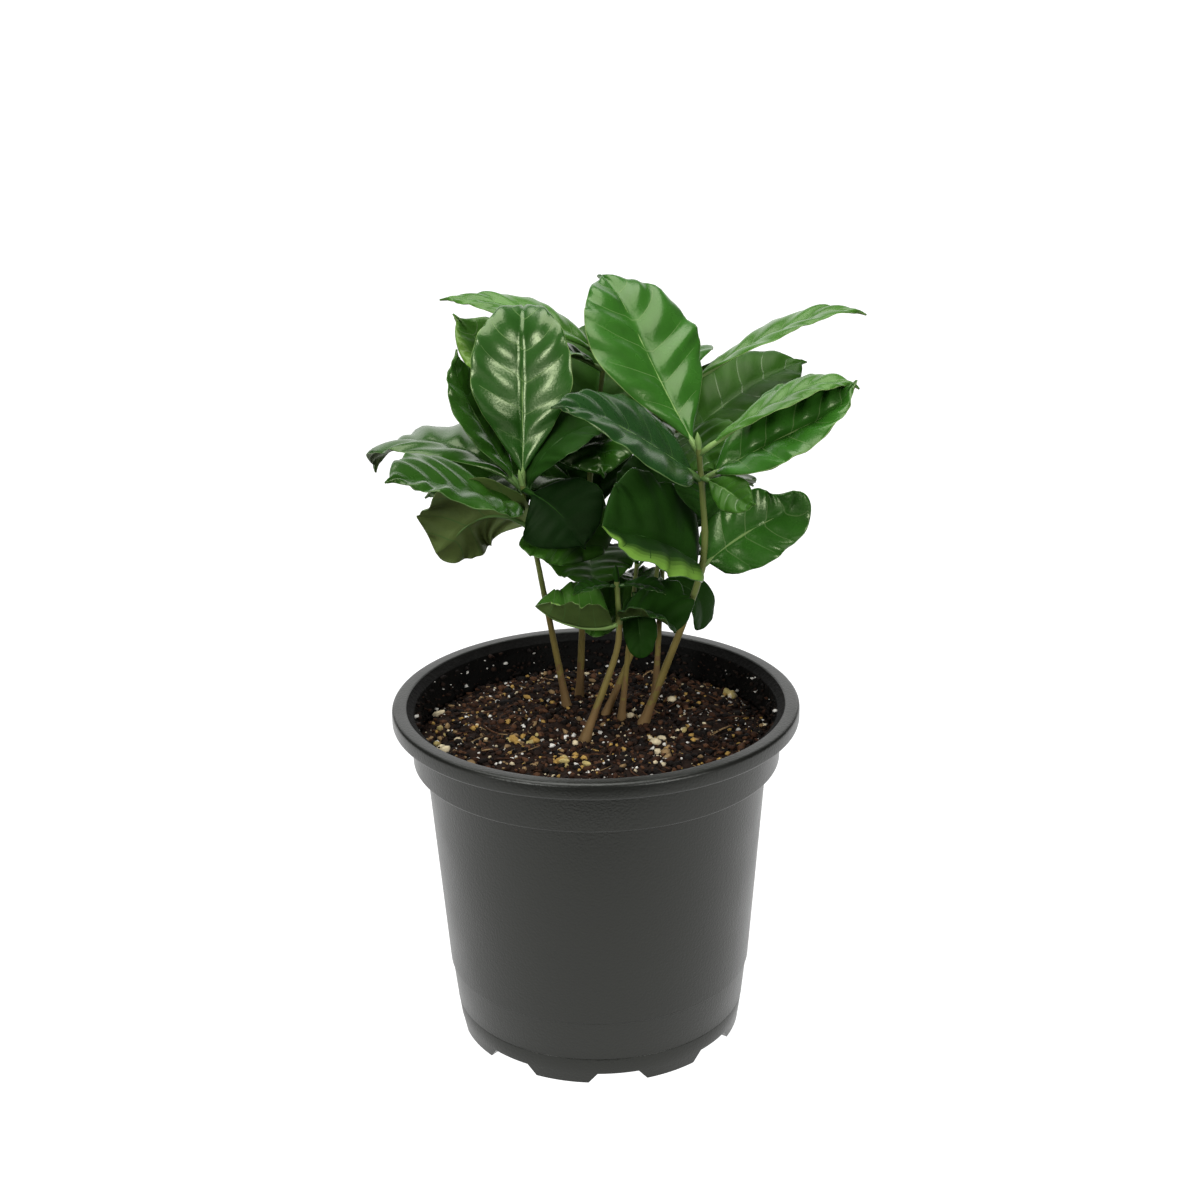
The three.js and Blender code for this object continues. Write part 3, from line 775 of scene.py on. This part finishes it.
def add_grain(shell, grain, place, size, tone, rng, flatness=GRAIN_FLATNESS, rough=GRAIN_ROUGH):
    """One crumb: a ball pressed out of round, turned at random."""
    points, faces = grain
    shape = points * (1 + rng.uniform(-rough, rough, (len(points), 1)))
    shape *= size * np.array([rng.uniform(*GRAIN_LONG), rng.uniform(*GRAIN_BROAD), flatness])
    spin = Matrix.Rotation(rng.uniform(0, 2 * math.pi), 3, "Z")
    turn = spin @ Matrix.Rotation(rng.uniform(-GRAIN_TILT, GRAIN_TILT), 3, "X")
    shape = shape @ np.array(turn).T + place
    shell.add_faces(shape, faces, [tone] * len(faces), [GRAIN_MAP] * len(faces))


def scatter(rng, count, limit):
    """Places on the mix, even over its area."""
    radius = limit * np.sqrt(rng.uniform(0, 1, count))
    angle = rng.uniform(0, 2 * np.pi, count)
    x, y = radius * np.cos(angle), radius * np.sin(angle)
    return np.stack([x, y, soil_surface(x, y)], -1)


def pick(rng, choices):
    return choices[rng.integers(len(choices))]


def build_bits(materials):
    """Crumbs, white grains and chips strewn over the mix."""
    rng = np.random.default_rng(BITS_SEED)
    grain = unit_grain(1)
    for name, count, small, large, tones in BITS:
        shell = Shell(count)
        for place in scatter(rng, count, SOIL_RADIUS - BITS_INSET):
            size = lerp(small, large, rng.uniform() ** SMALL_BIAS)
            add_grain(shell, grain, place + [0, 0, GRAIN_LIFT * size], size, pick(rng, tones), rng)
        shell.piece(name, [], materials)


def build_clusters(materials):
    """Larger lumps that lie together, kept clear of the pot's wall."""
    rng = np.random.default_rng(CLUSTERS_SEED)
    grain = unit_grain(2)
    shell = Shell(sum(cluster.count for cluster in CLUSTERS))
    for cluster in CLUSTERS:
        x, y = np.array(cluster.place)[:, None] + rng.normal(0, cluster.spread, (2, cluster.count))
        within = np.minimum(1, (SOIL_RADIUS - 2 * cluster.radius) / np.hypot(x, y))
        x, y = x * within, y * within
        for place in np.stack([x, y, soil_surface(x, y)], -1):
            size = cluster.radius * rng.uniform(*LUMP_SIZE)
            lifted = place + [0, 0, LUMP_LIFT * size]
            tone = pick(rng, cluster.tones)
            add_grain(shell, grain, lifted, size, tone, rng, LUMP_FLATNESS, LUMP_ROUGH)
    shell.piece("mix_clusters", [], materials)


def add_fibre(shell, place, length, radius, tone, rng):
    """A bent strand of bark or root that lies on the mix."""
    heading = rng.uniform(0, 2 * math.pi)
    ahead = np.array([math.cos(heading), math.sin(heading), rng.uniform(*FIBRE_TILT)])
    aside = np.array([-math.sin(heading), math.cos(heading), 0])
    share = np.linspace(-1, 1, FIBRE_RINGS)[:, None]
    bend = rng.uniform(-FIBRE_BEND, FIBRE_BEND) * length * (1 - share ** 2)
    axis = place + ahead * share * length / 2 + aside * bend
    around = np.linspace(0, 2 * np.pi, FIBRE_SIDES, endpoint=False)[:, None]
    ring = np.cos(around) * aside + np.sin(around) * np.array([0, 0, 1])
    thick = radius * (1 - FIBRE_TAPER * share ** 2)
    shell.add_rings(axis[:, None] + ring * thick[:, :, None], [[tone] * FIBRE_SIDES] * FIBRE_RINGS)


def build_fibres(materials):
    rng = np.random.default_rng(FIBRES_SEED)
    shell = Shell(FIBRES)
    for place in scatter(rng, FIBRES, SOIL_RADIUS - FIBRE_INSET):
        length = lerp(*FIBRE_LENGTH, rng.uniform() ** FIBRE_SHORT_BIAS)
        radius = rng.uniform(*FIBRE_RADIUS)
        add_fibre(shell, place + [0, 0, FIBRE_LIFT], length, radius, pick(rng, FIBRE_TONES), rng)
    shell.piece("mix_fibres", [], materials)


def build_wall_dirt(materials):
    """Crumbs that stick to the inner wall above the mix, fewer towards the rim."""
    rng = np.random.default_rng(WALL_SEED)
    grain = unit_grain(1)
    shell = Shell(WALL_BITS)
    for _ in range(WALL_BITS):
        angle = rng.uniform(0, 2 * math.pi)
        height = lerp(SOIL_EDGE, RIM_TOP - WALL_CLEAN_TOP, rng.uniform() ** WALL_LOW_BIAS)
        size = lerp(*WALL_BIT_RADIUS, rng.uniform() ** SMALL_BIAS)
        radius = COLLAR_RADIUS - WALL - GRAIN_LIFT * size
        place = np.array([radius * math.cos(angle), radius * math.sin(angle), height])
        add_grain(shell, grain, place, size, pick(rng, WALL_TONES), rng)
    shell.piece("mix_wall_dirt", [], materials)


# Seedlings


def stem_point(seedling, share):
    """Points on a seedling's axis at shares of its height: a straight lean plus a bow along X that is
    nearly straight on both sides of a rounded turn."""
    share = np.asarray(share, float)
    below, above = share / STEM_TURN, (1 - share) / (1 - STEM_TURN)
    power = STEM_TURN_SHARPNESS
    bow = seedling.bow * below * above / (below ** power + above ** power) ** (1 / power)
    x = lerp(seedling.foot[0], seedling.tip[0], share) + bow
    y = lerp(seedling.foot[1], seedling.tip[1], share)
    return np.stack([x, y, SOIL_TOP + seedling.tip[2] * share], -1)


def build_stalk(seedling, index, materials):
    """The whole stem from below the mix to the bud, with ridged bark and swollen leaf joints."""
    rise = seedling.tip[2]
    share = np.linspace(-STEM_BURIED / rise, 1, int((rise + STEM_BURIED) / STEM_STEP))
    height = np.maximum(0, share * rise)
    radius = seedling.diameter / 2 * lerp(1, STEM_TAPER, share)
    radius = radius * (1 + ROOT_FLARE * np.exp(-height / ROOT_FLARE_HEIGHT))
    for at in sorted({leaf.at for leaf in seedling.seed_leaves + seedling.true_leaves}):
        radius = radius * (1 + NODE_SWELL * np.exp(-(((share - at) * rise / NODE_HEIGHT) ** 2)))
    bud_radius = seedling.diameter / 2 * STEM_TAPER * np.array(BUD_SWELLS)
    lean = stem_point(seedling, 1) - stem_point(seedling, BUD_LEAN_FROM)
    lean = lean / np.linalg.norm(lean)
    bud_axis = stem_point(seedling, 1) + np.array(BUD_PLACES)[:, None] * BUD_LENGTH * lean
    axis = np.concatenate([stem_point(seedling, share), bud_axis])
    radius = np.concatenate([radius, bud_radius])
    angles = np.linspace(0, 2 * np.pi, STEM_SIDES, endpoint=False)
    ring = np.stack([np.cos(angles), np.sin(angles), np.zeros(STEM_SIDES)], -1)
    smooth = axis[:, None] + ring * radius[:, None, None]
    fibre = smooth * [1, 1, BARK_STRETCH]
    ridges = noise_at(fibre.reshape(-1, 3), RIDGE_FINENESS, index + 1)
    lumps = noise_at(smooth.reshape(-1, 3), LUMP_FINENESS, index + 9)
    relief = 1 + BARK_RELIEF * (ridges + LUMP_SHARE * lumps).reshape(smooth.shape[:2])
    relief[-len(BUD_PLACES):] = 1
    rings = axis[:, None] + ring * (radius[:, None] * relief)[:, :, None]
    blotch = noise_at(smooth.reshape(-1, 3), BLOTCH_FINENESS, index + 5).reshape(smooth.shape[:2])
    level = (axis[:, 2] - SOIL_TOP)[:, None] + BLOTCH_REACH * blotch
    tones = np.where(level < BARK_HEIGHT, "bark", np.where(level < TAN_HEIGHT, "tan", "green"))
    # Buds of low seedlings are painted in shade
    tones[-len(BUD_PLACES) - 1:] = "pale" if rise > LOW_SEEDLING else "shade"
    shell = Shell(1)
    shell.add_rings(rings, tones.tolist())
    shell.piece(f"stalk_{seedling.name}", [f"stem_{seedling.name}"], materials)


def seed_outline(u, broad):
    """Half width of a seed leaf in its full half width, at shares of its length."""
    v = u ** (math.log(0.5) / math.log(broad or SEED_BROADEST))
    return np.maximum(0, 4 * v * (1 - v)) ** SEED_ROUNDNESS


def true_outline(u, broad):
    """Half width of a true leaf in its full half width, with the drip tip."""
    skew = math.log(0.5) / math.log((broad or TRUE_BROADEST) / DRIP_FULL)
    swell = np.sin(np.pi * np.minimum(1, u / DRIP_FULL) ** skew)
    drip = DRIP_WIDTH * np.sqrt(np.maximum(0, 1 - u)) * smooth_step(u, DRIP_START, DRIP_FULL) ** 2
    return np.maximum(0, swell) ** BLADE_FULLNESS + drip


def blade_frame(leaf, u):
    """Along the midrib, across it and out of the upper face, at shares of the blade's length."""
    ending = np.maximum(0, (u - CURL_START) / (1 - CURL_START))
    climb = np.radians(leaf.rise + leaf.bend * u + leaf.curl * ending ** 2)[..., None]
    heading, roll = math.radians(leaf.heading), math.radians(leaf.roll)
    ahead = np.array([math.cos(heading), math.sin(heading), 0])
    level = np.array([-math.sin(heading), math.cos(heading), 0])
    along = np.cos(climb) * ahead + np.sin(climb) * np.array([0, 0, 1])
    across = level * math.cos(roll) + np.cross(along, level) * math.sin(roll)
    return along, across, np.cross(along, across)


def midrib_point(seedling, leaf, kind, u):
    """Points on the midrib, followed step by step from the petiole to the tip."""
    stalk = kind.petiole * min(1, leaf.length / PETIOLE_FULL_LEAF)
    ends = np.linspace(0, 1, MIDRIB_STEPS + 1)
    along, _, _ = blade_frame(leaf, (ends[1:] + ends[:-1]) / 2)
    path = np.concatenate([np.zeros((1, 3)), np.cumsum(along, 0) * leaf.length / MIDRIB_STEPS])
    root = stem_point(seedling, leaf.at) + blade_frame(leaf, np.zeros(1))[0][0] * stalk
    return root + np.stack([np.interp(u, ends, path[:, k]) for k in range(3)], -1)


def blade_rows(kind):
    """Stations along the blade as a share of it and a side: -1 and 1 are the two edges of a side vein."""
    spacing = 1 / (kind.veins + 1)
    rows = []
    for i in range(kind.veins + 1):
        rows += [(spacing * (i + k / ROWS_BETWEEN_VEINS), 0) for k in range(1, ROWS_BETWEEN_VEINS)]
        if i < kind.veins:
            rows += [(spacing * (i + 1), -1), (spacing * (i + 1), 1)]
    return [(0, 0)] + rows + [(1, 0)]


def add_blade(shell, seedling, leaf, kind, outline, rng):
    """One blade: folded halves that arch, quilt between the veins and wave at the margin. Its noise is told
    apart by the leaf's heading and the stem's diameter."""
    lanes = np.array(LANES)
    share = np.concatenate([lanes, [0], lanes[::-1]])
    side = np.sign(np.arange(len(share)) - len(lanes))
    station, edge = (np.array(column)[:, None] for column in zip(*blade_rows(kind)))
    middle = 4 * station * (1 - station)
    s = station + edge * VEIN_HALF_WIDTH / leaf.length * (1 - VEIN_THINNING * share)
    turn = rng.uniform(0, 2 * np.pi, 2)[np.where(side > 0, 1, 0)]
    stray = VEIN_SHIFT * side * (share > 0) + VEIN_STRAY * share * np.sin(VEIN_STRAY_TURNS * s + turn)
    sweep = kind.slant * share ** VEIN_SWEEP_POWER + stray
    u = np.clip(s + sweep * middle, 0, 1)
    half = np.maximum(LEAF_TIP, leaf.width / 2 * outline(u, leaf.broad))
    phase = np.pi * s * (kind.veins + 1)
    swing = 2 * np.pi * kind.ripples * s
    ripple = np.sin(swing + turn) + FINE_RIPPLE * np.sin(FINE_RIPPLE_RATE * swing + 2 * turn)
    size = leaf.width / FULL_RELIEF_WIDTH
    x = side * share * half * (1 + RIPPLE_IN_OUTLINE * ripple * share ** 2)
    fold = math.radians(leaf.fold)
    lift = np.abs(x) * math.sin(fold)
    lift = lift + kind.arch * half * 2 * share * (1 - share)
    quilt = np.sin(phase) ** 2 * np.sqrt(np.maximum(0, 4 * share * (1 - share)))
    wave = ripple * share ** WAVE_POWER * middle
    flat = np.stack([u * leaf.length, x, np.full_like(x, leaf.heading)], -1)
    uneven = noise_at(flat.reshape(-1, 3), 1 / UNEVEN_SIZE, seedling.diameter).reshape(x.shape)
    uneven = UNEVEN * min(1, size) * uneven * (1 - share) * middle
    lift = lift + leaf.relief * (size * (kind.quilt * quilt + kind.wave * wave) + uneven)
    _, across, up = blade_frame(leaf, u)
    centre = midrib_point(seedling, leaf, kind, u)
    sheet = centre + across * (x * math.cos(fold))[..., None]
    thickness = HALF_THICKNESS * np.sqrt(1 - share ** THIN_EDGE_POWER)
    top = sheet + up * (lift + thickness)[..., None]
    bottom = (sheet + up * (lift - thickness)[..., None])[:, -2:0:-1]
    rings = np.concatenate([top, bottom], 1)
    shell.add_rings(rings, blade_tones(leaf, share, side, edge[:, 0]))


def lit_rim_tone(leaf, reach):
    """Tone of a half that shades from the leaf's own tone into its rim's painted light, in even steps."""
    step = round(LIT_RIM_STEPS * smooth_step(reach, LIT_RIM_START, LIT_RIM_FULL))
    return (leaf.tone, leaf.rim[0], step)


def blade_tones(leaf, share, side, edge):
    """Tone of each face round each band of the blade: veins and margin pale, the margin's paleness a
    painted highlight of its lit edge, the lower face duller.
    """
    outer = np.maximum(share[:-1], share[1:])
    half = side[:-1] + side[1:]
    vein, margin = VEIN_TONES[leaf.tone]
    rows = []
    for on_vein in edge < 0:
        upper = []
        for reach, which in zip(outer, half):
            tone = leaf.tone
            # A half with a rim brightens towards its margin: painted light
            if leaf.rim and which * leaf.rim[1] > 0:
                tone = lit_rim_tone(leaf, reach)
            if on_vein and reach <= VEIN_REACH:
                tone = vein
            # Painted highlight: the pale line of the lit, translucent margin
            if reach == 1:
                tone = margin
            upper.append(tone)
        lower = "olive" if leaf.tone == "olive" else "under"
        rows.append(upper + ["vein" if on_vein else lower] * len(outer))
    return rows


def add_rib(shell, seedling, leaf, kind):
    """Petiole and midrib: a tapering rod from inside the stem to near the tip, proud of the blade."""
    u = np.linspace(0, RIB_END, RIB_STEPS)
    _, across, up = blade_frame(leaf, u)
    thick = PETIOLE_RADIUS * min(1, leaf.length / PETIOLE_FULL_LEAF + PETIOLE_SPARE)
    radius = lerp(thick, RIB_TIP, u ** RIB_TAPER_POWER)
    centre = midrib_point(seedling, leaf, kind, u)
    sunk = np.minimum(0, HALF_THICKNESS + RIB_PROUD - radius) * smooth_step(u, 0, RIB_SUNK_FROM)
    centre = centre + up * sunk[:, None]
    root = stem_point(seedling, leaf.at)
    centre = np.concatenate([root[None], centre])
    across, up = (np.concatenate([axis[:1], axis]) for axis in (across, up))
    radius = np.concatenate([[thick], radius])
    angles = np.linspace(0, 2 * np.pi, RIB_SIDES, endpoint=False)
    rings = centre[:, None] + radius[:, None, None] * (
        across[:, None] * np.cos(angles)[:, None] + up[:, None] * np.sin(angles)[:, None]
    )
    shell.add_rings(rings, [[VEIN_TONES[leaf.tone][1]] * RIB_SIDES] * len(rings))


def build_foliage(seedling, index, materials):
    rng = np.random.default_rng(LEAVES_SEED + index)
    shell = Shell(2 * len(seedling.seed_leaves + seedling.true_leaves))
    for leaves, kind, outline in (
        (seedling.seed_leaves, SEED_KIND, seed_outline),
        (seedling.true_leaves, TRUE_KIND, true_outline),
    ):
        for leaf in leaves:
            add_blade(shell, seedling, leaf, kind, outline, rng)
            add_rib(shell, seedling, leaf, kind)
    shell.piece(f"foliage_{seedling.name}", [f"leaves_{seedling.name}"], materials)


# Stage, light and camera


def plain_material(name, color, glow):
    """A matt surface that may give light of its own."""
    material = bpy.data.materials.new(name)
    material.use_nodes = True
    shader = material.node_tree.nodes["Principled BSDF"]
    shader.inputs["Base Color"].default_value = color
    shader.inputs["Roughness"].default_value = 1
    shader.inputs["Specular IOR Level"].default_value = 0
    shader.inputs["Emission Color"].default_value = (1, 1, 1, 1)
    shader.inputs["Emission Strength"].default_value = glow
    return material


def stage_sheet(name, place, size, material):
    """A level sheet that shows in reflections but throws no light on matt surfaces."""
    bpy.ops.mesh.primitive_plane_add(size=1, location=place)
    sheet = bpy.context.object
    sheet.name = name
    sheet.scale = (size[0], size[1], 1)
    sheet.data.materials.append(material)
    sheet.visible_diffuse = False
    return sheet


def build_stage():
    """A bright floor, a dark card on it in front of the pot that only reflections show, and a dim sky."""
    pale = plain_material("pale_floor", STAGE_COLOR, FLOOR_GLOW)
    stage_sheet("floor", (0, 0, 0), (FLOOR_SIZE, FLOOR_SIZE), pale)
    card = stage_sheet("card", CARD_PLACE, CARD_SIZE, plain_material("dark_card", STAGE_COLOR, 0))
    card.visible_camera = False
    world = bpy.data.worlds.new("studio")
    world.use_nodes = True
    world.node_tree.nodes["Background"].inputs["Color"].default_value = (1, 1, 1, 1)
    world.node_tree.nodes["Background"].inputs["Strength"].default_value = WORLD_STRENGTH
    bpy.context.scene.world = world
    bpy.context.scene.view_settings.view_transform = "Standard"


def build_light():
    """Soft boxes that all face the middle of the plant."""
    for box in SOFT_BOXES:
        lamp = bpy.data.lights.new(box.name, "AREA")
        lamp.shape = "RECTANGLE"
        lamp.size, lamp.size_y = box.size
        lamp.energy = box.power
        made = bpy.data.objects.new(box.name, lamp)
        made.location = box.place
        facing = Vector(LIGHT_TARGET) - Vector(box.place)
        made.rotation_euler = facing.to_track_quat("-Z", "Y").to_euler()
        made.visible_camera = False
        bpy.context.scene.collection.objects.link(made)


def build_camera():
    """The photograph's view: pitched down, with a slight yaw and roll."""
    pitch, yaw, roll = (math.radians(angle) for angle in (CAMERA_PITCH, CAMERA_YAW, CAMERA_ROLL))
    ahead = Vector((math.sin(yaw) * math.cos(pitch), math.cos(yaw) * math.cos(pitch), -math.sin(pitch)))
    level = Vector((math.cos(yaw), -math.sin(yaw), 0))
    above = level.cross(ahead)
    right = level * math.cos(roll) + above * math.sin(roll)
    up = above * math.cos(roll) - level * math.sin(roll)
    camera = bpy.data.cameras.new("camera")
    camera.lens = CAMERA_LENS
    camera.sensor_width = SENSOR
    made = bpy.data.objects.new("camera", camera)
    turn = Matrix((right, up, -ahead)).transposed().to_4x4()
    made.matrix_world = Matrix.Translation(CAMERA_PLACE) @ turn
    bpy.context.scene.collection.objects.link(made)
    bpy.context.scene.camera = made


plastic = pot_materials()
mix = mix_materials()
greens = leaf_materials()

build_camera()
build_light()
build_stage()
build_pot(plastic)
build_soil(mix)
build_bits(mix)
build_clusters(mix)
build_fibres(mix)
build_wall_dirt(mix)
for number, seedling in enumerate(SEEDLINGS):
    build_stalk(seedling, number, greens)
    build_foliage(seedling, number, greens)
